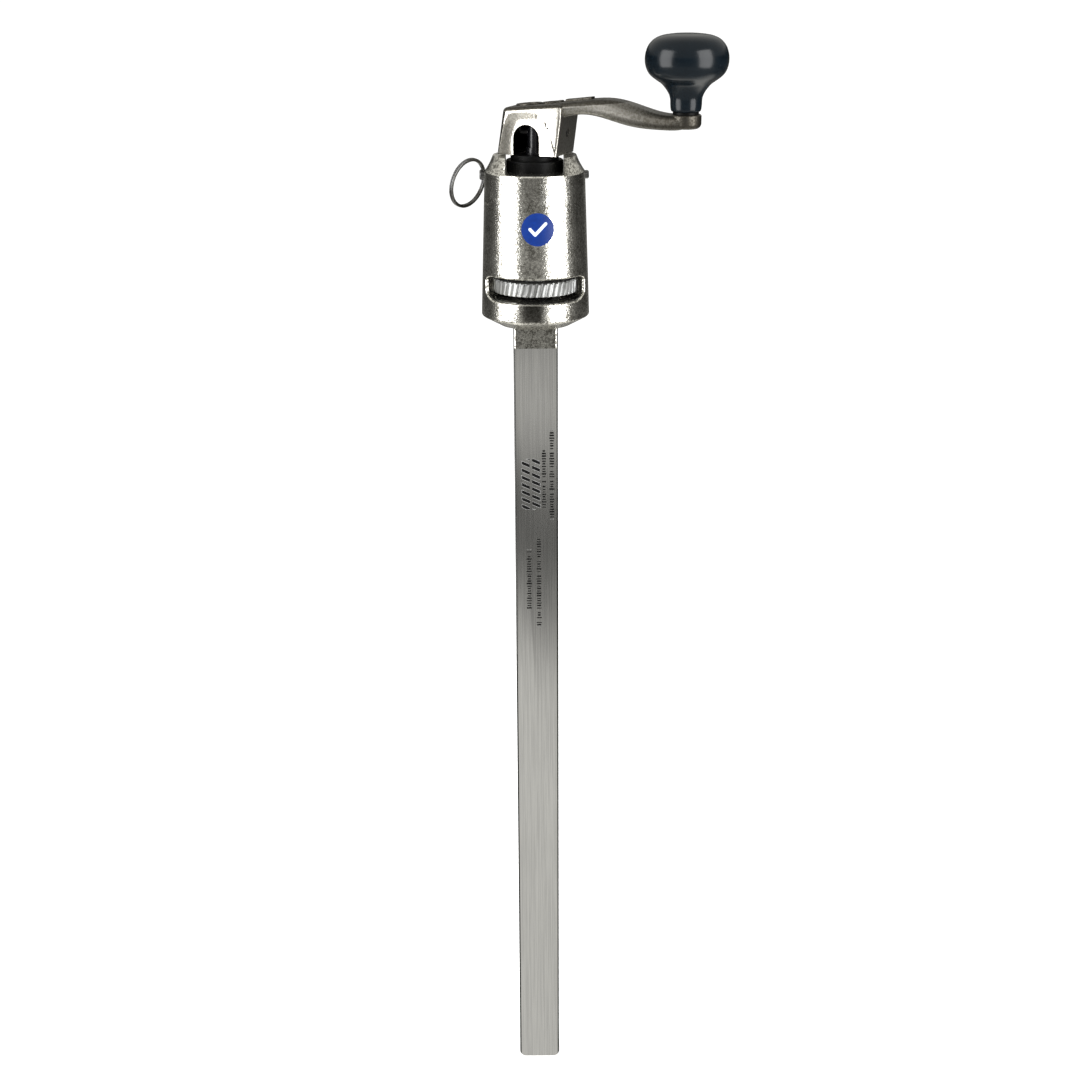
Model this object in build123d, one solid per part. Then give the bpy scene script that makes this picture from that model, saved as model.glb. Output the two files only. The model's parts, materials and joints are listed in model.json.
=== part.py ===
"""Bench-mounted manual can opener: a flat slide bar, a bell-shaped head with a toothed drive
wheel and a knife, and a crank with a free-turning ball knob.

Millimetres. +Z is up. The origin is the middle of the bar's lower end. The crank's shaft
stands on the Z axis, the toothed slot faces -Y and the can is held on the +Y side.
"""
from build123d import *
import math
import os

# ------------------------------------------------------------------ driving dimensions
bar_width = 25.4
bar_depth = 15.9
bar_length = 473.5
bar_corner = 4.0            # rounded corners of the bar's lower end
bar_edge = 0.8              # rounding of the bar's long edges

neck_height = 13.5
neck_edge = 1.8
tenon_width = 17.0
tenon_depth = 10.0
tenon_height = 14.0
dowel_r = 2.0
dowel_spacing = 9.0

foot_z = bar_length + neck_height   # underside of the bell
foot_r = 20.5
rim_r = 30.6                # widest part of the bell
rim_z = foot_z + 5.5
crown_r = 28.0              # top of the bell's long flank
crown_z = foot_z + 85.5
lip_r = 23.2                # the two ears at the very top
lip_z = foot_z + 94.5

notch_half = 16.2           # cross notch that the upper bushing's flange lies in
notch_z = crown_z + 0.5
chamber_r = 26.0            # room for the drive wheel
chamber_low = foot_z + 16.2
chamber_high = chamber_low + 13.2
slot_half = 26.0
slot_rounding = 1.1         # bright rounded edge all round the slot
pocket_r = 25.0             # hollow between the outer wall and the central tube
tube_r = 17.0
pocket_top = crown_z - 10.5
can_side_y = 22.8           # the head stops here below the can's rim
knife_face_y = 25.6
knife_face_top = chamber_high + 30.0

bushing_r = 13.0
bushing_low = crown_z - 31.5
flange_r = 15.9
flange_high = notch_z + 6.1
boss_r = 13.4               # raised middle of the flange, just under the hub
lower_bushing_r = 7.0
lower_bushing_low = foot_z + 5.5
running = 0.05              # radial clearance of every turning or sliding fit
slip = 0.02                 # radial clearance of pieces that don't move in each other

shaft_r = 5.0
shaft_top_r = 4.0           # above the shoulder, inside the crank
journal_r = 4.0             # in the lower bushing
shaft_shoulder_z = foot_z + 98.5
hex_flats = 8.6
hex_top = chamber_high + 4.0
wheel_low = chamber_low + 2.7
wheel_high = wheel_low + 7.4
wheel_r = 24.1
tooth_depth = 1.7
tooth_count = 44
tooth_slant = 13.0          # degrees off the shaft's direction

pin_y = 13.0                # release pin, parallel to X
pin_z = crown_z - 3.7
pin_r = 2.38
pin_tip_x = 30.5
pin_boss_r = 3.3
pin_seat_x = -26.6          # end of the cast boss that the pin's head rests on
pin_head_r = 2.8
pin_head_length = 4.5
eye_x = -28.6
eye_hole_r = 1.7
ring_r = 13.5               # mean radius of the pull ring
ring_wire_r = 1.05
ring_hinge = Vector(0, 0.3142, -0.9494).normalized()
ring_lie = Vector(-0.6616, -0.7117, -0.2356).normalized()   # from the eye to the ring's middle

crank_angle = -22.0         # degrees, the arm's direction from +X
crank_radius = 87.1
hub_low = foot_z + 95.4
hub_half = 13.8             # half the hub's width across the arm
window_half = 7.7           # arched window that the shaft shows in
arch_z = hub_low + 8.9      # springing line of the window's arch
dish_depth = 1.3            # the shallow dish round the window
hub_back_wall = 3.8
hub_left_edge = 4.5         # roundings of the hub
hub_right_edge = 1.2
hub_top_edge = 2.8
roll_pin_z = foot_z + 107.0
roll_pin_r = 2.4
pad_r = 8.4                 # end of the arm, under the knob
pad_low = foot_z + 111.7
pad_high = foot_z + 119.3

knob_low = pad_high + 1.3
knob_height = 40.5
spindle_r = 3.2
spindle_head_r = 4.8
spindle_head_low = knob_low + 20.0
bush_r = 5.6

label_r = 9.0
label_x = 1.5
label_z = foot_z + 57.5


# ------------------------------------------------------------------ shapes used throughout
def upright(radius, low, high, bore=0.0):
    """A cylinder about the Z axis, with an optional bore."""
    place = Pos(0, 0, (low + high) / 2)
    body = place * Cylinder(radius, high - low)
    if bore:
        body -= place * Cylinder(bore, high - low + 1)
    return body


def rod(start, direction, radius, length):
    """A cylinder that starts at a point and runs along a direction."""
    along = Align.CENTER, Align.CENTER, Align.MIN
    return Plane(origin=start, z_dir=direction) * Cylinder(radius, length, align=along)


def block(x, y, z):
    """A box from its low and high limits along each axis."""
    middle = [(low + high) / 2 for low, high in (x, y, z)]
    return Pos(*middle) * Box(x[1] - x[0], y[1] - y[0], z[1] - z[0])


def turned(outline):
    """A solid of revolution about Z from a closed outline in radius and height."""
    return revolve(Plane.XZ * make_face(outline), Axis.Z)


def at_height(shape, z):
    """The corners of a flat outline that lie at one height."""
    return [corner for corner in shape.vertices() if abs(corner.Y - z) < 0.01]


def bell_radius(z):
    """Radius of the bell's tapered flank at a height."""
    return rim_r + (crown_r - rim_r) * (z - rim_z) / (crown_z - rim_z)


# ------------------------------------------------------------------ head and bar
def bell_outside():
    """Flared foot, long tapered flank and hollow-curved shoulder."""
    outline = Polyline((0, lip_z), (0, foot_z), (foot_r, foot_z), (rim_r, rim_z), (crown_r, crown_z))
    outline += ThreePointArc((crown_r, crown_z), (25.2, crown_z + 4.5), (lip_r, lip_z))
    outline += Line((lip_r, lip_z), (0, lip_z))
    section = make_face(outline)
    section = fillet(at_height(section, rim_z), 1.2)
    section = fillet([c for c in at_height(section, crown_z) if c.X > 1], 1.5)
    return revolve(Plane.XZ * section, Axis.Z)


def gear_slot():
    """Rounded slot through the front wall, in line with the drive wheel."""
    height = chamber_high - chamber_low
    mouth = Pos(0, (chamber_low + chamber_high) / 2) * Rectangle(2 * slot_half, height)
    mouth = fillet(at_height(mouth, chamber_low), 4.7)
    mouth = fillet(at_height(mouth, chamber_high), 3.0)
    return extrude(Plane.XZ * mouth, 40)


def slot_rim(head):
    """The slot's outer edges, on the bell's flank."""
    def on_rim(edge):
        middle = edge @ 0.5
        near_slot = chamber_low - 1 < middle.Z < chamber_high + 1
        return near_slot and middle.Y < -10 and math.hypot(middle.X, middle.Y) > chamber_r + 1.5
    return [edge for edge in head.edges() if on_rim(edge)]


def head_casting():
    neck = block((-bar_width / 2, bar_width / 2), (-bar_depth / 2, bar_depth / 2), (bar_length, rim_z))
    neck = fillet(neck.edges().filter_by(Axis.Z), neck_edge)
    head = bell_outside() + neck
    head += rod((-18, pin_y, pin_z), (-1, 0, 0), pin_boss_r, -18 - pin_seat_x)

    pocket = upright(pocket_r, chamber_high - 1, pocket_top, bore=tube_r)
    pocket -= block((-17, 17), (13, 40), (foot_z, lip_z))
    head -= upright(chamber_r, chamber_low, chamber_high) + pocket
    head -= gear_slot()
    head = fillet(slot_rim(head), slot_rounding)
    head -= upright(bushing_r, chamber_low + 5, lip_z + 1)
    head -= upright(lower_bushing_r, lower_bushing_low, chamber_low + 1)
    head -= block((-notch_half, notch_half), (-40, 40), (notch_z, lip_z + 1))

    head -= block((-40, 40), (can_side_y, 60), (foot_z - 5, chamber_high))
    head -= block((-40, 40), (knife_face_y, 60), (chamber_high - 1, knife_face_top))
    for x, z in knife_screw_places():
        head -= rod((x, knife_face_y + 1, z), (0, -1, 0), 2.5, 11)

    head -= rod((-40, pin_y, pin_z), (1, 0, 0), pin_r + running, 80)

    half_w = tenon_width / 2
    half_d = tenon_depth / 2
    head -= block((-half_w, half_w), (-half_d, half_d), (bar_length - 1, bar_length + tenon_height + 1))
    for x in (-dowel_spacing / 2, dowel_spacing / 2):
        head -= dowel(x, dowel_r + slip)
    return head


def slide_bar():
    """Flat bar with rounded lower corners and a tenon that enters the neck."""
    face = Pos(0, bar_length / 2) * Rectangle(bar_width, bar_length)
    face = fillet(at_height(face, 0), bar_corner)
    bar = extrude(Plane.XZ * face, bar_depth / 2, both=True)
    long_edges = bar.edges().filter_by(Axis.Z)
    bar = fillet(long_edges, bar_edge)
    half_w = tenon_width / 2 - slip
    half_d = tenon_depth / 2 - slip
    bar += block((-half_w, half_w), (-half_d, half_d), (bar_length - 1, bar_length + tenon_height))
    for x in (-dowel_spacing / 2, dowel_spacing / 2):
        bar -= dowel(x, dowel_r + slip)
    return bar


def dowel(x, radius):
    """One cross dowel, driven in from the back of the neck."""
    return rod((x, bar_depth / 2, bar_length + neck_height / 2), (0, -1, 0), radius, bar_depth - 3)


def neck_dowels():
    return dowel(-dowel_spacing / 2, dowel_r) + dowel(dowel_spacing / 2, dowel_r)


def upper_bushing():
    """Flanged plastic sleeve with the groove that the release pin locks."""
    sleeve = upright(bushing_r - running, bushing_low, notch_z + 0.5)
    sleeve += fillet(upright(flange_r, notch_z, flange_high).edges().group_by(Axis.Z)[-1], 0.8)
    sleeve += upright(boss_r, flange_high - 0.5, hub_low - 0.4)
    sleeve -= upright(bushing_r + 1, pin_z - 2.9, pin_z + 2.9, bore=10.2)
    return sleeve - upright(shaft_r + running, bushing_low - 1, hub_low)


def lower_bushing():
    bushing = upright(lower_bushing_r - slip, lower_bushing_low, chamber_low)
    bushing += upright(10, chamber_low, chamber_low + 1.5)
    return bushing - upright(journal_r + running, lower_bushing_low - 1, chamber_low + 2)


def thrust_washer():
    return upright(9, chamber_low + 1.5, wheel_low - 0.1, bore=journal_r + running)


def round_label():
    """Thin round label that follows the bell's flank."""
    low_z = label_z - label_r - 2
    high_z = label_z + label_r + 2
    low = bell_radius(low_z)
    high = bell_radius(high_z)
    skin = turned(Polyline((low, low_z), (low + 0.15, low_z), (high + 0.15, high_z), (high, high_z), close=True))
    return skin & rod((label_x, 0, label_z), (0, -1, 0), label_r, 40)


# ------------------------------------------------------------------ knife
def knife_screw_places():
    return [(-6.5, chamber_high + 17), (6.5, chamber_high + 17)]


def knife():
    """Blade plate with a pointed, bevelled tip that hangs inside the can's rim."""
    low = chamber_high - 10.5
    high = knife_face_top - 1.5
    outline = Polyline((-12, high), (12, high), (12, chamber_high + 2), (5, low), (-3, low),
                       (-12, chamber_high - 3), close=True)
    blade = extrude(Plane.XZ * make_face(outline), -4)
    blade = Pos(0, knife_face_y, 0) * blade
    bevel = Polyline((knife_face_y + 1.0, low - 1), (knife_face_y + 5, low - 1), (knife_face_y + 5, low + 11),
                     close=True)
    blade -= Pos(-20, 0, 0) * extrude(Plane.YZ * make_face(bevel), 40)
    for x, z in knife_screw_places():
        blade -= rod((x, knife_face_y - 1, z), (0, 1, 0), 3.2, 8)
    return blade


def knife_lock_washers():
    """Two split spring washers."""
    group = []
    for x, z in knife_screw_places():
        washer = rod((x, knife_face_y + 4, z), (0, 1, 0), 4.8, 1.4)
        washer -= rod((x, knife_face_y + 3, z), (0, 1, 0), 3.1, 4)
        washer -= block((x - 0.4, x + 0.4), (knife_face_y + 3, knife_face_y + 6), (z + 2, z + 6))
        group.append(washer)
    return Compound(children=group)


def knife_screws():
    """Two hexagon-head screws in the boss behind the knife."""
    group = []
    for x, z in knife_screw_places():
        under_head = knife_face_y + 5.4
        head = extrude(Plane(origin=(x, under_head, z), z_dir=(0, 1, 0)) * RegularPolygon(5.0, 6), 3.6)
        group.append(head + rod((x, under_head, z), (0, -1, 0), 2.5 - slip, 14.5))
    return Compound(children=group)


# ------------------------------------------------------------------ drive
def hexagon(flats, low, high):
    face = RegularPolygon(flats / 2, 6, major_radius=False)
    return extrude(Pos(0, 0, low) * face, high - low)


def crank_frame(shape):
    """Turn a shape from the arm's own direction into its rest direction."""
    return Rot(0, 0, crank_angle) * shape


def drive_shaft():
    """Journal, hexagon for the wheel, long round part and a thinner top in the crank."""
    shaft = upright(journal_r, lower_bushing_low + 1, wheel_low)
    shaft += hexagon(hex_flats, wheel_low, hex_top)
    shaft += upright(shaft_r, hex_top, shaft_shoulder_z)
    shaft += upright(shaft_top_r, shaft_shoulder_z, arch_z + window_half + 3)
    shaft -= upright(shaft_r + 1, bushing_low - 1.5, bushing_low - 0.4, bore=4.3)
    across = rod((-10, 0, roll_pin_z), (1, 0, 0), roll_pin_r, 20)
    return crank_frame(shaft - across)


def shaft_clip():
    """Open snap ring in the shaft's groove, under the bushing."""
    clip = upright(7.5, bushing_low - 1.45, bushing_low - 0.45, bore=4.3)
    clip -= block((0, 10), (-2.6, 2.6), (bushing_low - 3, bushing_low + 1))
    return clip


def wheel_outline(turn):
    """Toothed outline; each tooth is a flank, a narrow land, a flank and a root."""
    step = 360 / tooth_count
    points = []
    for tooth in range(tooth_count):
        for share, radius in ((-0.36, wheel_r - tooth_depth), (-0.10, wheel_r), (0.10, wheel_r),
                              (0.36, wheel_r - tooth_depth)):
            angle = math.radians(step * (tooth + share) + turn)
            points.append((radius * math.cos(angle), radius * math.sin(angle)))
    return make_face(Polyline(*points, close=True))


def drive_gear():
    """Drive wheel with slanted teeth, a shallow dish on top and a hexagon bore."""
    height = wheel_high - wheel_low
    twist = math.degrees(height * math.tan(math.radians(tooth_slant)) / wheel_r)
    low = Pos(0, 0, wheel_low) * wheel_outline(0)
    high = Pos(0, 0, wheel_high) * wheel_outline(twist)
    wheel = loft([low, high], ruled=True)
    wheel -= upright(wheel_r - 5, wheel_high - 1, wheel_high + 1, bore=9.5)
    return crank_frame(wheel - hexagon(hex_flats + 0.1, wheel_low - 1, wheel_high + 1))


# ------------------------------------------------------------------ crank
def arch():
    """Outline of the window: an upright arch, open to well below the hub."""
    low = hub_low - 2
    sides = Polyline((window_half, arch_z), (window_half, low), (-window_half, low), (-window_half, arch_z))
    top = ThreePointArc((-window_half, arch_z), (0, arch_z + window_half), (window_half, arch_z))
    return make_face(sides + top)


def dish_outline(share):
    """Bell-curve outline of the dish, shrunk towards the middle of the hub's lower edge."""
    right = [(18.4, -2), (17.6, 3), (15.8, 9.5), (14.0, 15.5), (11.2, 20.4), (6.5, 22.9)]
    left = [(-x, z) for x, z in reversed(right)]
    points = [(x * share, hub_low + z * share) for x, z in right + [(0, 23.4)] + left]
    return make_face(Spline(*points) + Line(points[-1], points[0]))


def hub():
    """Hood over the shaft's top, with an arched window in a shallow dish on its front."""
    side = Polyline((-18, hub_low), (18, hub_low), (20.8, foot_z + 116), (20.8, foot_z + 123.6),
                    (-14, foot_z + 120.6), close=True)
    body = extrude(Plane.XZ * make_face(side), hub_half, both=True)
    upright_edges = body.edges().filter_by(Axis.Z, tolerance=20)
    body = fillet([edge for edge in upright_edges if edge.center().X < 0], hub_left_edge)
    upright_edges = body.edges().filter_by(Axis.Z, tolerance=8)
    body = fillet([edge for edge in upright_edges if edge.center().X > 15], hub_right_edge)
    top = body.faces().sort_by(Axis.Z)[-1]
    body = fillet([edge for edge in top.edges() if edge.center().X < 19], hub_top_edge)
    body -= extrude(Plane.XZ.offset(hub_back_wall - hub_half) * arch(), 2 * hub_half)
    outer = Plane.XZ.offset(hub_half + 0.1) * dish_outline(1.0)
    inner = Plane.XZ.offset(hub_half - dish_depth) * dish_outline(0.87)
    return body - loft([outer, inner], ruled=True)


def arm_section(x, low, high, half):
    """Arm section: a flat oval, a little fuller underneath."""
    height = high - low
    face = Rectangle(2 * half, height)
    face = fillet(at_height(face, -height / 2), height * 0.50)
    face = fillet(at_height(face, height / 2), height * 0.44)
    return Plane(origin=(x, 0, (low + high) / 2), x_dir=(0, 1, 0), z_dir=(1, 0, 0)) * face


def arm():
    """Arm that rises from the hub, arches over and comes down level to the pad."""
    stations = [(12, 115.4, 122.8, 11.5), (22, 116.4, 124.2, 11.2), (37, 117.3, 125.9, 9.6),
                (50, 113.8, 125.6, 8.9), (60, 111.7, 123.2, 8.6), (71, 111.0, 120.0, 8.5),
                (crank_radius, pad_low - foot_z, pad_high - foot_z, pad_r)]
    return loft([arm_section(x, foot_z + low, foot_z + high, half) for x, low, high, half in stations])


def crank_arm():
    pad = Pos(crank_radius, 0, 0) * upright(pad_r, pad_low, pad_high)
    pad = fillet(pad.edges().group_by(Axis.Z)[0], 3.0)
    pad = fillet(pad.edges().group_by(Axis.Z)[-1], 1.0)
    body = hub() + arm() + pad
    body -= upright(shaft_top_r + slip, hub_low, arch_z + window_half + 3.5)
    body -= rod((-30, 0, roll_pin_z), (1, 0, 0), roll_pin_r, 60)
    body -= Pos(crank_radius, 0, 0) * upright(3.0 + slip, pad_low - 1, pad_high + 1)
    return crank_frame(body)


def crank_roll_pin():
    """Slotted spring pin through the hub and the shaft."""
    start = -15.4
    length = 34.0
    pin = rod((start, 0, roll_pin_z), (1, 0, 0), roll_pin_r - slip, length)
    pin -= rod((start - 1, 0, roll_pin_z), (1, 0, 0), 1.5, length + 2)
    pin -= block((start - 1, start + length + 1), (-0.3, 0.3), (roll_pin_z, roll_pin_z + 3))
    return crank_frame(pin)


# ------------------------------------------------------------------ knob
def at_knob(shape):
    """Move a shape from the Z axis to the knob's axis."""
    return crank_frame(Pos(crank_radius, 0, 0) * shape)


def knob_spindle():
    """Headed spindle, riveted into the arm's pad."""
    spindle = upright(3.0, pad_low, pad_high)
    spindle += upright(spindle_r, pad_high, spindle_head_low)
    spindle += upright(spindle_head_r, spindle_head_low, spindle_head_low + 3)
    return at_knob(spindle)


def knob_washer():
    return at_knob(upright(7.0, pad_high, knob_low - 0.1, bore=spindle_r + slip))


def knob():
    """Ball knob on a short neck: straight neck, hollow flare, round head, flat crown."""
    base = (7.6, knob_low)
    neck = (8.5, knob_low + 6.5)
    waist = (13.2, knob_low + 14.2)
    belly = (22.3, knob_low + 27.2)
    shoulder = (18.6, knob_low + 36.6)
    crown = (10.5, knob_low + knob_height)
    outline = Line(base, neck)
    outline += Spline(neck, waist, (20.2, knob_low + 20.2), belly, shoulder, crown,
                      tangents=[(0.1, 1), (-1, 0.12)])
    outline += Polyline(crown, (0, knob_low + knob_height), (0, knob_low), base)
    body = turned(outline)
    body -= upright(bush_r + slip, knob_low - 1, spindle_head_low + 6)
    return at_knob(body)


def knob_bush():
    return at_knob(upright(bush_r, knob_low, spindle_head_low - 0.15, bore=spindle_r + running))


# ------------------------------------------------------------------ release pin and pull ring
def release_pin():
    """Headed locking pin with an eye for the ring and a detent pocket."""
    head_x = pin_seat_x - 0.05
    pin = rod((head_x, pin_y, pin_z), (1, 0, 0), pin_r, pin_tip_x - head_x)
    pin = chamfer(pin.edges().group_by(Axis.X)[-1], 0.7)
    head = rod((head_x, pin_y, pin_z), (-1, 0, 0), pin_head_r, pin_head_length)
    pin += fillet(head.edges().group_by(Axis.X)[0], 0.7)
    eye_centre = Vector(eye_x, pin_y, pin_z)
    pin -= rod(eye_centre - ring_hinge * 6, ring_hinge, eye_hole_r, 12)
    return pin - rod((detent_x(), pin_y, pin_z + 4), (0, 0, -1), 1.25, 5.6)


def detent_x():
    """The detent sits just outside the head's wall when the pin is home."""
    return math.sqrt(bell_radius(pin_z) ** 2 - (pin_y - pin_r) ** 2) + 1.0


def detent_ball():
    return Pos(detent_x(), pin_y, pin_z + pin_r - 1.25) * Sphere(1.2)


def detent_spring():
    """Small coil spring under the detent ball."""
    low = pin_z - 1.35
    path = Helix(pitch=0.42, height=1.1, radius=0.85)
    wire = Plane(origin=path @ 0, z_dir=path % 0) * Circle(0.15)
    return Pos(detent_x(), pin_y, low) * sweep(wire, path)


def pull_ring():
    """Round ring through the pin's eye."""
    centre = Vector(eye_x, pin_y, pin_z) + ring_lie * ring_r
    return Plane(origin=centre, x_dir=ring_lie, z_dir=ring_hinge.cross(ring_lie)) * Torus(ring_r, ring_wire_r)


# ------------------------------------------------------------------ write one file per piece
pieces = [
    head_casting, slide_bar, neck_dowels, upper_bushing, lower_bushing, thrust_washer, round_label,
    knife, knife_lock_washers, knife_screws,
    drive_shaft, shaft_clip, drive_gear, crank_arm, crank_roll_pin,
    knob_spindle, knob_washer, knob, knob_bush,
    release_pin, detent_ball, detent_spring, pull_ring,
]

os.makedirs("parts", exist_ok=True)
for make in pieces:
    export_step(make(), f"parts/{make.__name__}.step")
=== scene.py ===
"""Looks of a bench-mounted can opener: nickel-plated head and crank, brushed slide bar, black ball
knob, toothed wheel, split pull ring. Metres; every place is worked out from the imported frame."""
import json
import math
import bmesh
import bpy
import numpy as np
from mathutils import Matrix, Vector
from mathutils.bvhtree import BVHTree


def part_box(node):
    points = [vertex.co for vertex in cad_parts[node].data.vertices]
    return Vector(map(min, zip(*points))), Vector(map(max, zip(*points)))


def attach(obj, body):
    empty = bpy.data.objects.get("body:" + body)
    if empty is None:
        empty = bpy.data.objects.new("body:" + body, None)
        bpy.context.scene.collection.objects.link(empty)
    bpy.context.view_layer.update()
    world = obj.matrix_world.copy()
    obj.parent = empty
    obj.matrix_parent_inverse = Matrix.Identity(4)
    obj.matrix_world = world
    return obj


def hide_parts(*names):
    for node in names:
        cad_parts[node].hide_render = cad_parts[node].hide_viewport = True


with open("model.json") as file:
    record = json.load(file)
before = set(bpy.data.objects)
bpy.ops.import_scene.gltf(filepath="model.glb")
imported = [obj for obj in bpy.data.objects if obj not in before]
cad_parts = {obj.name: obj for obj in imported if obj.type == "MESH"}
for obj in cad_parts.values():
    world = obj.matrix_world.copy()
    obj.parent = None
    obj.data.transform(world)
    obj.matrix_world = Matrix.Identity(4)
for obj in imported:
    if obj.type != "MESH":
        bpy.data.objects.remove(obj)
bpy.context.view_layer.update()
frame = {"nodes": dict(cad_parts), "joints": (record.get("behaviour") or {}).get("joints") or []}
MM = 0.001
LENS_MM = 60.17
CAMERA_PLACE = (0.0019, -1.0155, 0.7071)
CAMERA_PITCH = math.radians(19.107)    # tipped down from level
CAMERA_ROLL = math.radians(-0.29)
FLOOR_HALF_SIDE = 40.0
EVEN_LIGHT = 1.2            # pale light from all round on everything that isn't shiny
STROKE_PITCH = 1.55         # spacing of the bar's etched strokes, mm
ROW_SHIFT, LENGTH_SHIFT = 37.3, 0.37   # keep the strokes of two rows, and their lengths, unlike
HUB_SLOPE = 0.086           # rise of the hub's top towards the knob
HUB_HEIGHT = 26.4           # from the crank's lowest point to the hub's top at the shaft, mm


# ---------------------------------------------------------------- places taken from the frame
def span(node):
    """Low and high corners of a CAD node as arrays."""
    low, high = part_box(node)
    return np.array(low), np.array(high)


JOINTS = {joint["name"]: joint for joint in frame["joints"]}
KNOB_AXIS = np.array(JOINTS["knob_spin"]["pos_m"])[:2]
CRANK_TURN = math.atan2(KNOB_AXIS[1], KNOB_AXIS[0])
HEAD_LOW = span("head_casting")[0]
BAR_LOW, BAR_HIGH = span("slide_bar")
WHEEL_LOW, WHEEL_HIGH = span("drive_gear")
KNOB_LOW, KNOB_HIGH = span("knob")
LABEL_LOW, LABEL_HIGH = span("round_label")
HUB_TOP = span("crank_arm")[0][2] / MM + HUB_HEIGHT
HEAD_LIT_PLACE = Vector((0, 0, HEAD_LOW[2] + 0.05))    # where the soft boxes point


# ---------------------------------------------------------------- camera and light
def add_object(name, data):
    """New object at the origin, linked to the scene."""
    thing = bpy.data.objects.new(name, data)
    bpy.context.scene.collection.objects.link(thing)
    return thing


def add_camera():
    """Camera in front of the opener, facing +Y and tipped down."""
    data = bpy.data.cameras.new("camera")
    data.sensor_width = 36
    data.lens = LENS_MM
    camera = add_object("camera", data)
    tip = Matrix.Rotation(math.pi / 2 - CAMERA_PITCH, 4, "X")
    roll = Matrix.Rotation(CAMERA_ROLL, 4, "Z")
    camera.matrix_world = Matrix.Translation(CAMERA_PLACE) @ tip @ roll
    bpy.context.scene.camera = camera


def add_softbox(name, azimuth, distance=1.25, middle_z=0.72, width=0.85, height=1.5, watts=31):
    """Rectangular light on a circle round the opener; azimuth 0 is on the camera's side."""
    data = bpy.data.lights.new(name, "AREA")
    data.shape = "RECTANGLE"
    data.size = width
    data.size_y = height
    data.energy = watts
    light = add_object(name, data)
    angle = math.radians(azimuth)
    place = Vector((distance * math.sin(angle), -distance * math.cos(angle), middle_z))
    turn = (HEAD_LIT_PLACE - place).to_track_quat("-Z", "Y").to_matrix().to_4x4()
    light.matrix_world = Matrix.Translation(place) @ turn
    light.visible_camera = False


def add_floor(material):
    """Flat pale floor that shiny faces don't see."""
    mesh = bpy.data.meshes.new("floor")
    far = FLOOR_HALF_SIDE
    corners = [(-far, -far, 0), (far, -far, 0), (far, far, 0), (-far, far, 0)]
    mesh.from_pydata(corners, [], [(0, 1, 2, 3)])
    mesh.materials.append(material)
    floor = add_object("floor", mesh)
    floor.visible_glossy = False


# ---------------------------------------------------------------- shader maths
class Socket:
    """A node socket with arithmetic: an expression on it adds the Math nodes it needs."""

    def __init__(self, graph, socket):
        self.graph = graph
        self.socket = socket

    def math(self, operation, *others):
        return self.graph.node("ShaderNodeMath", {"operation": operation}, self, *others)

    def __add__(self, other):
        return self.math("ADD", other)

    def __sub__(self, other):
        return self.math("SUBTRACT", other)

    def __mul__(self, other):
        return self.math("MULTIPLY", other)

    def __truediv__(self, other):
        return self.math("DIVIDE", other)

    def __rsub__(self, other):
        return self.graph.node("ShaderNodeMath", {"operation": "SUBTRACT"}, other, self)

    def __lt__(self, other):
        return self.math("LESS_THAN", other)

    def __gt__(self, other):
        return self.math("GREATER_THAN", other)

    __radd__ = __add__
    __rmul__ = __mul__

    def abs(self):
        return self.math("ABSOLUTE")

    def rise(self, low, high):
        """0 below low, 1 above high, smooth between."""
        smooth = {"interpolation_type": "SMOOTHSTEP"}
        return self.graph.node("ShaderNodeMapRange", smooth, self, low, high)

    def within(self, low, high, edge):
        """1 between low and high, with soft edges."""
        return self.rise(low - edge, low + edge) * (1 - self.rise(high - edge, high + edge))


class Graph:
    """The node tree of one material, or of the world."""

    def __init__(self, name, owner=None):
        self.material = owner or bpy.data.materials.new(name)
        self.material.use_nodes = True
        self.tree = self.material.node_tree
        self.shader = self.tree.nodes["Background" if owner else "Principled BSDF"]

    def node(self, kind, settings=None, *inputs, out=0, **named):
        """Add a node: its settings first, then its inputs in order or by name."""
        node = self.tree.nodes.new(kind)
        for key, value in (settings or {}).items():
            if key == "stops":
                fill_ramp(node.color_ramp, value)
            else:
                setattr(node, key, value)
        for key, value in list(enumerate(inputs)) + list(named.items()):
            self.put(node.inputs[key], value)
        return Socket(self, node.outputs[out])

    def put(self, socket, value):
        """Link a socket, or set its constant; a colour gets its alpha."""
        if isinstance(value, Socket):
            self.tree.links.new(value.socket, socket)
        elif value is not None:
            socket.default_value = (*value, 1.0) if socket.type == "RGBA" else value

    def set(self, **values):
        """Constants or links on the shader's own sockets; underscores stand for spaces."""
        for key, value in values.items():
            self.put(self.shader.inputs[key.replace("_", " ")], value)

    def place(self):
        return self.node("ShaderNodeTexCoord", out="Object")

    def axes(self):
        """X, Y and Z of the object coordinates in millimetres."""
        parts = self.node("ShaderNodeSeparateXYZ", None, self.place()).socket.node
        return [Socket(self, output) * 1000.0 for output in parts.outputs]

    def stretched(self, turn, scale):
        """The object coordinates turned, then scaled, so that a pattern on them runs long one way."""
        return self.node("ShaderNodeMapping", {"vector_type": "POINT"}, self.place(),
                         Rotation=turn, Scale=scale)

    def noise(self, size_mm, detail=3.0, roughness=0.55, at=None):
        """Fractal noise whose blotches are about size_mm across."""
        where = at or self.place()
        return self.node("ShaderNodeTexNoise", {"noise_dimensions": "3D"}, Vector=where, out="Fac",
                         Scale=1000.0 / size_mm, Detail=detail, Roughness=roughness)

    def mix(self, factor, first, second):
        """Colour mix; the five sockets between the factor and the colours are for other types."""
        unused = [None] * 5
        return self.node("ShaderNodeMix", {"data_type": "RGBA"}, factor, *unused, first, second, out=2)

    def bump(self, height, depth_mm):
        return self.node("ShaderNodeBump", None, Strength=1.0, Distance=depth_mm * MM, Height=height,
                         out="Normal")


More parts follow.
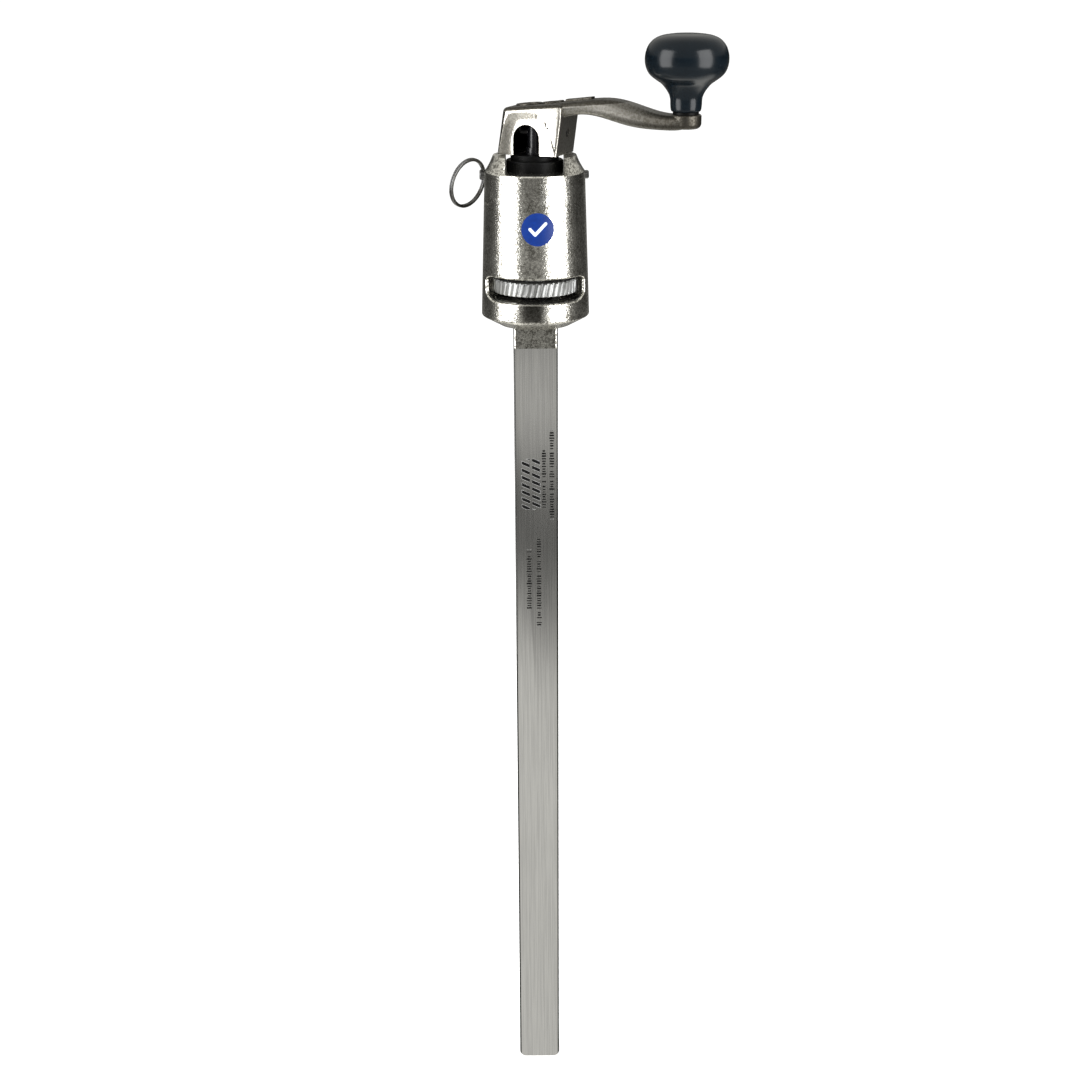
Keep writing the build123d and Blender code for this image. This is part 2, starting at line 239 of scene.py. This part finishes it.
def fill_ramp(ramp, stops):
    """Set a colour ramp's stops, from left to right."""
    ramp.elements.remove(ramp.elements[1])
    ramp.elements[0].position = stops[0][0]
    ramp.elements[0].color = (*stops[0][1], 1.0)
    for place, colour in stops[1:]:
        ramp.elements.new(place).color = (*colour, 1.0)


# ---------------------------------------------------------------- finishes
def plated_casting(name, bright, dull, grain_mm, grain_depth, base_roughness, dull_and_shade_mask, dull_and_shade_finish, hollow_shade_mask=None):
    """Nickel plate over a fine-grained casting: orange-peel grain, soft stains, dark pin-points.
    One mask function picks out darker metal, partly the part's own dull metal and partly painted
    shade and painted reflection; the finish pair gives its colour and added roughness. An optional
    second mask picks out a hollow that is painted near-black as shade."""
    g = Graph(name)
    grain = g.noise(grain_mm, detail=2.0, roughness=0.6)
    fine = g.noise(grain_mm * 0.45, detail=1.0, roughness=0.5)
    stain = g.noise(9.0, detail=3.0, roughness=0.6)
    pits = g.noise(grain_mm * 1.25, detail=2.0, roughness=0.75).rise(0.46, 0.58)
    tone = (stain.rise(0.3, 0.7) * 0.30 + pits * 0.70).math("MINIMUM", 1.0)
    colour = g.mix(tone, bright, dull)
    dull_and_shade_colour, masked_roughness = dull_and_shade_finish
    # Darker metal: the part's own dull metal in some places, painted shade and painted reflection in
    # others
    dull_and_shade = dull_and_shade_mask(g)
    colour = g.mix(dull_and_shade * (pits * 0.04 + 0.96), colour, dull_and_shade_colour)
    # Painted shade: the hollow is painted near-black
    if hollow_shade_mask:
        painted_shade_black = (0.004, 0.004, 0.004)
        colour = g.mix(hollow_shade_mask(g) * 0.97, colour, painted_shade_black)
    g.set(Metallic=1.0, Base_Color=colour)
    g.set(Roughness=base_roughness + stain * 0.06 + pits * 0.10 + dull_and_shade * masked_roughness)
    g.set(Normal=g.bump(grain * 0.6 + fine * 0.4, grain_depth))
    return g.material


def dull_neck_and_painted_foot_reflection(g):
    """Mask of the darker metal: the neck's own dull metal, and a dark reflection painted on the middle of
    the foot below the wheel's slot.
    """
    x, _, z = g.axes()
    neck_top = BAR_HIGH[2] / MM - 0.5
    foot_low = neck_top + 6.2
    slot_low = WHEEL_LOW[2] / MM - 3.0
    # Painted reflection: a dark band down the middle of the foot
    foot = z.within(foot_low, slot_low, 0.8) * x.within(-8.0, 5.0, 3.6)
    return (z < neck_top) * 0.35 + foot * 0.93


def arm_plan(g):
    """Distances along and across the arm from the shaft's axis, and the height, in millimetres."""
    x, y, z = g.axes()
    c, s = math.cos(CRANK_TURN), math.sin(CRANK_TURN)
    return x * c + y * s, y * c - x * s, z


def satin_arm_and_painted_shade(g):
    """Mask of the rougher satin arm beyond the hub's bright front, and of the hub's top and end
    faces, painted darker as shade, more strongly towards the knob."""
    along, _, z = arm_plan(g)
    # Painted shade: darker over the hub's top and end faces, and growing towards the knob
    level = z - along * HUB_SLOPE
    top = level.rise(HUB_TOP - 2.6, HUB_TOP - 1.6)
    arm = along.rise(17.4, 18.4) * (along.rise(22.0, 80.0) * 0.42 + 0.58)
    return arm.math("MAXIMUM", top).math("MAXIMUM", 1 - along.rise(-17.6, -16.4))


def window_hollow_shade(g):
    """Mask of the hub's arched hollow, which is painted near-black as shade, in the arm's own plan:
    near the shaft's axis, behind the front dish, in front of the back wall and below the arch's crown."""
    along, across, z = arm_plan(g)
    half_width, front, back = 7.95, -11.9, 10.4
    crown = span("drive_shaft")[1][2] / MM + 1.0
    return (along.abs() < half_width) * across.within(front, back, 0.15) * (z < crown)


def brushed_bar():
    """Stainless bar, brushed along Z, with painted shade along its rounded edges, and groups of
    small dark etched dashes on its front face."""
    g = Graph("brushed_bar")
    streak_place = g.stretched((0, 0, 0), (1.0, 1.0, 0.012))
    streaks = g.noise(0.55, detail=3.0, roughness=0.6, at=streak_place)
    hair = g.noise(0.16, detail=2.0, roughness=0.6, at=streak_place)
    cloud = g.noise(38.0, detail=2.0, roughness=0.5)
    etched = etched_dashes(g)
    dull, bright = (0.60, 0.60, 0.595), (0.72, 0.72, 0.71)
    painted_edge_shade, etched_black = (0.055, 0.055, 0.053), (0.003, 0.003, 0.003)
    side = BAR_HIGH[0] / MM
    # Painted shade: near-black bands along the bar's rounded edges
    edges = g.axes()[0].abs().rise(side - 1.1, side - 0.7)
    steel = g.mix(streaks.rise(0.35, 0.65), dull, bright)
    steel = g.mix(edges, steel, painted_edge_shade)
    steel = g.mix(etched, steel, etched_black)
    g.set(Metallic=1 - etched, Base_Color=steel, Specular_IOR_Level=0.1)
    g.set(Roughness=0.08 + hair * 0.05 + cloud * 0.04 + etched * 0.30)
    g.set(Normal=g.bump(streaks * 0.6 + hair * 0.4 - etched * 0.5, 0.008))
    return g.material


def etched_dashes(g):
    """Mask of plain etched marks along the bar's front: rows of short cross strokes of uneven
    length, and one block of slanted hatching. No lettering. Each row has its middle, its width and
    how far below the head it begins and ends."""
    x, y, z = g.axes()
    front = y < (BAR_LOW[1] / MM + 0.4)
    neck = HEAD_LOW[2] / MM
    rows = ((9.0, 3.0, 102.5, 48.5), (4.4, 2.8, 96.0, 60.0),
            (-4.6, 3.2, 159.5, 121.5), (1.2, 3.2, 170.5, 112.5))
    marks = 0.0
    for index, (middle, width, low, high) in enumerate(rows):
        cell = (z / STROKE_PITCH).math("FLOOR") + index * ROW_SHIFT
        dice = g.node("ShaderNodeTexWhiteNoise", {"noise_dimensions": "1D"}, W=cell)
        length = g.node("ShaderNodeTexWhiteNoise", {"noise_dimensions": "1D"}, W=cell + LENGTH_SHIFT)
        thickness = (z / STROKE_PITCH).math("FRACT") < (dice * 0.35 + 0.35)
        across = (x - middle).abs() < (length * 0.5 + 0.5) * (width / 2)
        kept = dice > 0.12
        marks = across * thickness * kept * z.within(neck - low, neck - high, 0.1) + marks
    block = x.within(-8.6, 2.2, 0.15) * z.within(neck - 96.5, neck - 65.5, 0.15)
    slant = ((z + x * 0.45) / 4.4).math("FRACT")
    hatch = slant.within(0.10, 0.58, 0.04) * ((x + 3.2).abs() > 0.7)
    return (marks + block * hatch).math("MINIMUM", 1.0) * front


def label_blue():
    """Blue vinyl with a pale tick of two strokes."""
    g = Graph("blue_label")
    x, _, z = g.axes()
    middle = (LABEL_LOW + LABEL_HIGH) / 2 / MM
    u, v = x - middle[0], z - middle[2]
    start, corner, end = (-4.2, 0.2), (-1.4, -2.8), (4.4, 3.2)
    short = stroke(u, v, start, corner)
    long = stroke(u, v, corner, end)
    mark = 1 - short.math("MINIMUM", long).rise(0.75, 0.95)
    deep_blue, blue, pale = (0.0004, 0.0125, 0.094), (0.0008, 0.016, 0.116), (0.42, 0.47, 0.52)
    ground = g.mix(g.noise(2.5).rise(0.3, 0.7), deep_blue, blue)
    g.set(Base_Color=g.mix(mark, ground, pale), Specular_IOR_Level=0.2)
    g.set(Roughness=0.32 + g.noise(0.8) * 0.08, Normal=g.bump(mark + g.noise(0.5) * 0.15, 0.02))
    return g.material


def stroke(u, v, start, end):
    """Distance from a point to a straight stroke: the point's share of the way from start to end,
    held between 0 and 1, gives the nearest place on the stroke."""
    along = (end[0] - start[0], end[1] - start[1])
    length_squared = along[0] ** 2 + along[1] ** 2
    share = ((u - start[0]) * along[0] + (v - start[1]) * along[1]) / length_squared
    share = share.math("MAXIMUM", 0.0).math("MINIMUM", 1.0)
    du = u - start[0] - share * along[0]
    dv = v - start[1] - share * along[1]
    return (du * du + dv * dv).math("SQRT")


def black_gloss():
    """Gloss black phenolic with a faint blue cast and tiny handling scratches."""
    g = Graph("black_knob")
    cloud = g.noise(11.0, detail=3.0, roughness=0.6)
    slanted = g.stretched((0.4, 0.2, 0.7), (1.0, 0.06, 0.5))
    scratch = g.noise(1.2, detail=4.0, roughness=0.7, at=slanted).rise(0.60, 0.70)
    black, blue_black = (0.0012, 0.0024, 0.0036), (0.0025, 0.005, 0.0075)
    g.set(Base_Color=g.mix(cloud, black, blue_black))
    g.set(Roughness=0.17 + cloud * 0.08 + scratch * 0.10, Specular_IOR_Level=0.22)
    g.set(Normal=g.bump(g.noise(2.2, detail=2.0) + scratch * 0.2, 0.018))
    return g.material


def black_satin(name, colour, roughness, specular, grain=0.6):
    """Satin black plastic or oxide steel with a fine moulded or turned texture."""
    g = Graph(name)
    speck = g.noise(grain, detail=2.0, roughness=0.6)
    cloud = g.noise(6.0)
    lighter = tuple(min(1.0, 1.9 * part + 0.001) for part in colour)
    g.set(Base_Color=g.mix(cloud.rise(0.3, 0.75), colour, lighter), Specular_IOR_Level=specular)
    g.set(Roughness=roughness + speck * 0.12, Normal=g.bump(speck, 0.02))
    return g.material


def turned_steel(name, bright, dull, roughness, streak=(1.0, 1.0, 0.08), size=0.5):
    """Machined steel: fine lathe or mill lines and faint tarnish."""
    g = Graph(name)
    lines = g.noise(size, detail=3.0, roughness=0.6, at=g.stretched((0, 0, 0), streak))
    tarnish = g.noise(5.0, detail=3.0).rise(0.45, 0.75)
    g.set(Metallic=1.0, Base_Color=g.mix(tarnish, bright, dull))
    g.set(Roughness=roughness + lines * 0.14 + tarnish * 0.08, Normal=g.bump(lines, 0.012))
    return g.material


def floor_finish():
    """Pale matt paint."""
    g = Graph("pale_floor")
    soft = g.noise(900.0, detail=2.0)
    g.set(Base_Color=g.mix(soft, (0.90, 0.90, 0.895), (0.93, 0.93, 0.925)), Roughness=0.9)
    return g.material


# ---------------------------------------------------------------- surfaces
def new_piece(name, points, faces, material, body, smooth_degrees=40.0):
    """Mesh object from arrays; edges sharper than smooth_degrees stay crisp."""
    mesh = bpy.data.meshes.new(name)
    mesh.from_pydata(np.asarray(points).tolist(), [], [tuple(face) for face in faces])
    mesh.materials.append(material)
    piece = add_object(name, mesh)
    shade(mesh, smooth_degrees)
    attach(piece, body)
    return piece


def shade(mesh, degrees):
    """Smooth faces, with sharp edges where two faces meet at more than the angle."""
    mesh.polygons.foreach_set("use_smooth", np.ones(len(mesh.polygons), bool))
    mesh.set_sharp_from_angle(angle=math.radians(degrees))


def cover(mesh, material):
    """Make a mesh's only material the given one."""
    mesh.materials.clear()
    mesh.materials.append(material)


def quads(rows, columns, wrap_rows=False):
    """Faces of a grid of rows by columns. The columns close on themselves, and the rows may."""
    row = np.arange(rows if wrap_rows else rows - 1)[:, None]
    column = np.arange(columns)[None, :]
    next_row = (row + 1) % rows
    next_column = (column + 1) % columns
    corners = [row * columns + column, row * columns + next_column,
               next_row * columns + next_column, next_row * columns + column]
    return np.stack(corners, -1).reshape(-1, 4)


def smooth_curve(points, steps):
    """Catmull-Rom curve through the points: each span is a cubic whose end slopes are half
    the difference of the neighbouring points."""
    p = np.asarray(points, float)
    p = np.vstack([2 * p[0] - p[1], p, 2 * p[-1] - p[-2]])
    t = np.linspace(0, 1, steps, endpoint=False)[None, :, None]
    a, b, c, d = (p[i:len(p) - 3 + i, None, :] for i in range(4))
    curve = 0.5 * (2 * b + (c - a) * t + (2 * a - 5 * b + 4 * c - d) * t ** 2
                   + (3 * b - a - 3 * c + d) * t ** 3)
    return np.vstack([curve.reshape(-1, p.shape[1]), p[-2]])


def lathe(profile, columns, centre):
    """Surface of revolution: radius and height along the profile, swept once round the axis.
    Rows on the axis become single pole points."""
    angle = np.linspace(0, 2 * np.pi, columns, endpoint=False)
    radius, height = np.asarray(profile, float).T
    on_axis = 1e-7
    inner = radius > on_axis
    r = radius[inner][:, None]
    ring = np.stack([r * np.cos(angle), r * np.sin(angle),
                     np.broadcast_to(height[inner][:, None], (inner.sum(), columns))], -1)
    points = ring.reshape(-1, 3)
    faces = quads(inner.sum(), columns).tolist()
    for end, row in ((0, 0), (-1, inner.sum() - 1)):
        if not inner[end]:
            pole = len(points)
            points = np.vstack([points, [0, 0, height[end]]])
            around = np.arange(columns)
            fan = np.stack([around + row * columns, (around + 1) % columns + row * columns,
                            np.full(columns, pole)], -1)
            fan = fan[:, ::-1] if end == 0 else fan
            faces += fan.tolist()
    return points + np.append(centre, 0.0), faces


def tube(path, section, ups):
    """Section carried along an open path: section offsets lie along each point's side and up
    directions. Both ends are closed by the section's own polygon."""
    path = np.asarray(path, float)
    tangent = np.gradient(path, axis=0)
    tangent /= np.linalg.norm(tangent, axis=1, keepdims=True)
    side = np.cross(ups, tangent)
    side /= np.linalg.norm(side, axis=1, keepdims=True)
    up = np.cross(tangent, side)
    section = np.asarray(section, float)
    points = (path[:, None, :] + side[:, None, :] * section[None, :, :1]
              + up[:, None, :] * section[None, :, 1:2])
    rows, columns = points.shape[:2]
    faces = quads(rows, columns).tolist()
    faces.append(list(range(columns))[::-1])
    faces.append(list(range((rows - 1) * columns, rows * columns)))
    return points.reshape(-1, 3), faces


def rounded_section(width, height, radius, corner_steps=4):
    """Rounded rectangle: a quarter circle of the given radius at each corner."""
    quarter = np.linspace(0, np.pi / 2, corner_steps)
    parts = []
    for turn, (sx, sy) in enumerate(((1, 1), (-1, 1), (-1, -1), (1, -1))):
        angle = quarter + turn * np.pi / 2
        middle = np.array([sx * (width / 2 - radius), sy * (height / 2 - radius)])
        parts.append(middle + radius * np.stack([np.cos(angle), np.sin(angle)], -1))
    return np.vstack(parts)


def edge_rounded(node, body, material, width_mm, degrees=32.0):
    """A merged copy of a CAD node with its sharp edges rounded and its curved faces smooth."""
    mesh = frame["nodes"][node].data.copy()
    shape = bmesh.new()
    shape.from_mesh(mesh)
    same_place, flat = 1e-6, math.radians(1.0)
    bmesh.ops.remove_doubles(shape, verts=shape.verts, dist=same_place)
    bmesh.ops.dissolve_limit(shape, angle_limit=flat, verts=shape.verts, edges=shape.edges)
    shape.to_mesh(mesh)
    shape.free()
    cover(mesh, material)
    piece = add_object(node + "_finished", mesh)
    shade(mesh, degrees)
    bevel = piece.modifiers.new("rounded_edges", "BEVEL")
    bevel.width = width_mm * MM
    bevel.segments = 3
    bevel.limit_method = "ANGLE"
    bevel.angle_limit = math.radians(degrees)
    bevel.harden_normals = True
    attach(piece, body)
    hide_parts(node)


# ---------------------------------------------------------------- pieces
def make_knob(material):
    """Ball knob turned from one profile: neck, hollow flare, round belly and a gently domed crown,
    as shares of the belly's radius and of the height."""
    low = KNOB_LOW[2]
    height = KNOB_HIGH[2] - low
    belly = (KNOB_HIGH[0] - KNOB_LOW[0]) / 2
    neck = [(0, 0.0), (0.30, 0.0), (0.345, 0.008), (0.365, 0.03), (0.378, 0.09), (0.383, 0.16)]
    flare = [(0.405, 0.21), (0.45, 0.26), (0.515, 0.31), (0.60, 0.36), (0.73, 0.41), (0.84, 0.455)]
    head = [(0.93, 0.515), (0.985, 0.595), (1.0, 0.672), (0.985, 0.75), (0.925, 0.84), (0.80, 0.92),
            (0.62, 0.968), (0.40, 0.990), (0.20, 0.998), (0, 1.0)]
    outline = np.clip(smooth_curve(neck[2:] + flare + head, steps=7), 0, 1)
    outline = np.vstack([neck[:2], outline]) * (belly, height) + (0, low)
    points, faces = lathe(outline, columns=128, centre=KNOB_AXIS)
    knob = new_piece("ball_knob", points, faces, material, "knob", smooth_degrees=50)
    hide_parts("knob")


def make_wheel(material):
    """Toothed wheel: radius = root + depth * tooth(angle - twist * height), where tooth is a
    flat-topped wave, and a profile runs from the bore over the dished top to the underside."""
    teeth, per_tooth, slant = 44, 14, math.radians(13.0)
    tip = (WHEEL_HIGH[0] - WHEEL_LOW[0]) / 2 - 0.02 * MM
    depth = 1.6 * MM
    low, high = WHEEL_LOW[2], WHEEL_HIGH[2]
    twist = math.tan(slant) / tip
    edge = 0.35 * MM
    bore = 4.2 * MM
    hub, rim = 9.5 * MM, tip - 5.4 * MM
    dished = high - 0.9 * MM
    root = tip - depth - 0.4 * MM
    rows = [(bore, high, 0), (hub, high, 0), (hub + edge, dished, 0), (rim - edge, dished, 0),
            (rim, high, 0), (root, high, 0), (tip - edge, high, 0.8), (tip, high - edge, 1)]
    rows += [(tip, z, 1) for z in np.linspace(high - edge, low + edge, 7)[1:]]
    rows += [(tip - edge, low, 0.8), (root, low, 0), (bore, low, 0)]
    angle = np.linspace(0, 2 * np.pi, teeth * per_tooth, endpoint=False)[None, :]
    radius, height, share = np.array(rows).T[:, :, None]
    phase = (angle - twist * (height - low)) * teeth - CRANK_TURN * teeth
    wave = np.clip(0.5 + 0.95 * np.cos(phase), 0, 1)
    r = radius - share * depth * (1 - wave)
    points = np.stack([r * np.cos(angle), r * np.sin(angle), np.broadcast_to(height, r.shape)], -1)
    faces = quads(len(rows), angle.size, wrap_rows=True)[:, ::-1]
    wheel = new_piece("toothed_wheel", points.reshape(-1, 3), faces, material, "crank", smooth_degrees=30)
    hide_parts("drive_gear")


def make_pull_ring(material):
    """Split ring: two turns of flat wire side by side; in one short arc, the crossing, the wire
    steps from one turn's plane to the other by a smooth step. Angles along the wire in radians."""
    joint = JOINTS["pull_ring_swing"]
    eye = np.array(joint["pos_m"])
    hinge = np.array(joint["axis"]) / np.linalg.norm(joint["axis"])
    low, high = span("pull_ring")
    lie = (low + high) / 2 - eye
    lie -= hinge * (lie @ hinge)
    radius = np.linalg.norm(lie)
    lie /= radius
    normal = np.cross(hinge, lie)
    centre = eye + lie * radius
    end_gap, crossing, start = 0.06, 0.56, math.radians(62)
    half_pitch, inset = 0.52 * MM, 0.2 * MM
    turns = np.linspace(end_gap, 4 * np.pi - end_gap, 300)
    step = np.clip((turns - 2 * np.pi + crossing / 2) / crossing, 0, 1)
    step = step * step * (3 - 2 * step)
    offset = half_pitch * (2 * step - 1)
    around = np.cos(turns + start)[:, None] * lie + np.sin(turns + start)[:, None] * hinge
    path = centre + (radius - inset) * around + offset[:, None] * normal
    section = rounded_section(width=0.96 * MM, height=1.8 * MM, radius=0.42 * MM)
    points, faces = tube(path, section, around)
    ring = new_piece("split_ring", points, faces, material, "pull_ring", smooth_degrees=45)
    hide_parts("pull_ring")


def crank_point(along, across):
    """A point of the arm's own plan turned into the frame."""
    c, s = math.cos(CRANK_TURN), math.sin(CRANK_TURN)
    return along * c - across * s, along * s + across * c


def make_relief(material):
    """Raised plain marks on the arm: two oval rings and a long bar that follow its top. Each path
    is dropped straight down on the arm."""
    arm = frame["nodes"]["crank_arm"].data
    faces = [face.vertices for face in arm.polygons]
    tree = BVHTree.FromPolygons([vertex.co for vertex in arm.vertices], faces)

    def on_top(along, across):
        x, y = crank_point(along, across)
        above, down = Vector((x, y, 1.0)), Vector((0, 0, -1))
        return np.array(tree.ray_cast(above, down)[0])

    lift = 0.15 * MM
    angle = np.linspace(0, 2 * np.pi, 49)
    loops = []
    for middle, half_length, half_width in ((-3.0, 6.5, 5.0), (11.0, 5.5, 4.2)):
        loops.append([((middle + half_length * math.cos(a)) * MM, half_width * math.sin(a) * MM)
                      for a in angle])
    loops.append([(along * MM, 0.0) for along in np.linspace(19.5, 34.5, 24)])
    sizes = ((1.7, 1.5), (1.6, 1.5), (5.2, 2.2))
    for index, (loop, (width, height)) in enumerate(zip(loops, sizes)):
        path = np.array([on_top(*point) for point in loop])
        path[:, 2] += lift
        section = rounded_section(width * MM, height * MM, radius=0.5 * MM)
        points, faces = tube(path, section, np.tile([0, 0, 1.0], (len(path), 1)))
        mark = new_piece(f"arm_relief_{index + 1}", points, faces, material, "crank", smooth_degrees=50)


def light_scene():
    """Two soft boxes left and right of the camera. Shiny faces see a dim room over a pale table with
    one darker band across it, darker again to both sides behind the opener, and a pale ceiling;
    everything else gets even pale light."""
    bpy.context.scene.view_settings.view_transform = "Standard"
    add_softbox("left_box", -62)
    add_softbox("right_box", 50)
    world = bpy.data.worlds.new("studio")
    bpy.context.scene.world = world
    g = Graph("studio", world)
    parts = g.node("ShaderNodeSeparateXYZ", None, g.node("ShaderNodeTexCoord")).socket.node
    y, z = Socket(g, parts.outputs["Y"]), Socket(g, parts.outputs["Z"])
    table = ((0.235, 0.66), (0.300, 0.72), (0.309, 0.40), (0.318, 0.12), (0.350, 0.04), (0.359, 0.46),
             (0.372, 0.62), (0.388, 0.56), (0.394, 0.20), (0.402, 0.10), (0.412, 0.20), (0.430, 0.30))
    room = ((0.465, 0.16), (0.50, 0.04), (0.55, 0.05))
    ceiling = ((0.62, 0.55), (0.95, 0.85))
    stops = [(place, (grey, grey * 0.985, grey * 0.93)) for place, grey in table + room + ceiling]
    seen = g.node("ShaderNodeValToRGB", {"stops": stops}, z * 0.5 + 0.5)
    steep = 1 - z.rise(-0.80, -0.60)
    behind = y.rise(-0.35, 0.25) * (1 - y.rise(0.80, 0.96) * 0.7)
    behind = behind * (1 - steep) * (1 - z.rise(0.06, 0.22))
    dark, bright_floor = (0.0, 0.0, 0.0), (2.0, 1.97, 1.86)
    seen = g.mix(behind * 0.75, seen, dark)
    seen = g.mix(y.rise(-0.1, 0.3) * steep, seen, bright_floor)
    shiny = g.node("ShaderNodeLightPath", out="Is Glossy Ray")
    g.set(Color=g.mix(shiny, (EVEN_LIGHT,) * 3, seen))


def main():
    add_camera()
    light_scene()
    add_floor(floor_finish())

    # Casting: the neck's own dull metal, and a dark reflection painted on the middle of the foot
    casting = plated_casting(
        "nickel_casting", bright=(0.88, 0.865, 0.80), dull=(0.15, 0.143, 0.122), grain_mm=1.2,
        grain_depth=0.16, base_roughness=0.14, dull_and_shade_mask=dull_neck_and_painted_foot_reflection, dull_and_shade_finish=((0.030, 0.028, 0.024), 0.05))
    # Arm: rougher satin metal, painted darker as shade
    arm = plated_casting(
        "nickel_arm", bright=(0.72, 0.70, 0.65), dull=(0.42, 0.40, 0.35), grain_mm=1.0,
        grain_depth=0.05, base_roughness=0.11, dull_and_shade_mask=satin_arm_and_painted_shade,
        dull_and_shade_finish=((0.042, 0.038, 0.031), 0.26), hollow_shade_mask=window_hollow_shade)
    turned = (1, 1, 1)
    ring_steel = turned_steel("ring_steel", bright=(0.13, 0.13, 0.13), dull=(0.07, 0.067, 0.062),
                              roughness=0.20, streak=turned)
    ground = turned_steel("ground_steel", bright=(0.12, 0.12, 0.125), dull=(0.07, 0.068, 0.065),
                          roughness=0.25)
    zinc = turned_steel("zinc_fasteners", bright=(0.60, 0.60, 0.57), dull=(0.42, 0.41, 0.36),
                        roughness=0.28, streak=turned)
    knife_steel = turned_steel("knife_steel", bright=(0.62, 0.62, 0.63), dull=(0.48, 0.48, 0.48),
                               roughness=0.24, streak=(1, 1, 0.05))
    wheel_steel = turned_steel("bright_gear", bright=(0.42, 0.425, 0.42), dull=(0.33, 0.33, 0.325),
                               roughness=0.42, streak=(0.2, 0.2, 1), size=0.4)
    brass = turned_steel("bush_brass", bright=(0.72, 0.55, 0.26), dull=(0.5, 0.36, 0.16), roughness=0.3)
    bushing = black_satin("black_bushing", (0.0014, 0.0014, 0.0014), roughness=0.34, specular=0.06)
    shaft = black_satin("black_shaft", (0.004, 0.004, 0.005), roughness=0.20, specular=0.5, grain=0.4)

    edge_rounded("head_casting", "head", casting, width_mm=0.55)
    edge_rounded("crank_arm", "crank", arm, width_mm=0.7)
    edge_rounded("knife", "head", knife_steel, width_mm=0.15)
    edge_rounded("slide_bar", "head", brushed_bar(), width_mm=0.1)
    make_knob(black_gloss())
    make_wheel(wheel_steel)
    make_pull_ring(ring_steel)
    make_relief(arm)

    finishes = (
        (ground, ("neck_dowels", "crank_roll_pin", "knob_spindle")),
        (bushing, ("upper_bushing", "lower_bushing", "thrust_washer", "knob_washer")),
        (label_blue(), ("round_label",)),
        (zinc, ("knife_lock_washers", "knife_screws")),
        (shaft, ("drive_shaft", "shaft_clip")),
        (brass, ("knob_bush",)),
        (ring_steel, ("release_pin", "detent_ball", "detent_spring")),
    )
    for material, nodes in finishes:
        for node in nodes:
            cover(frame["nodes"][node].data, material)


main()
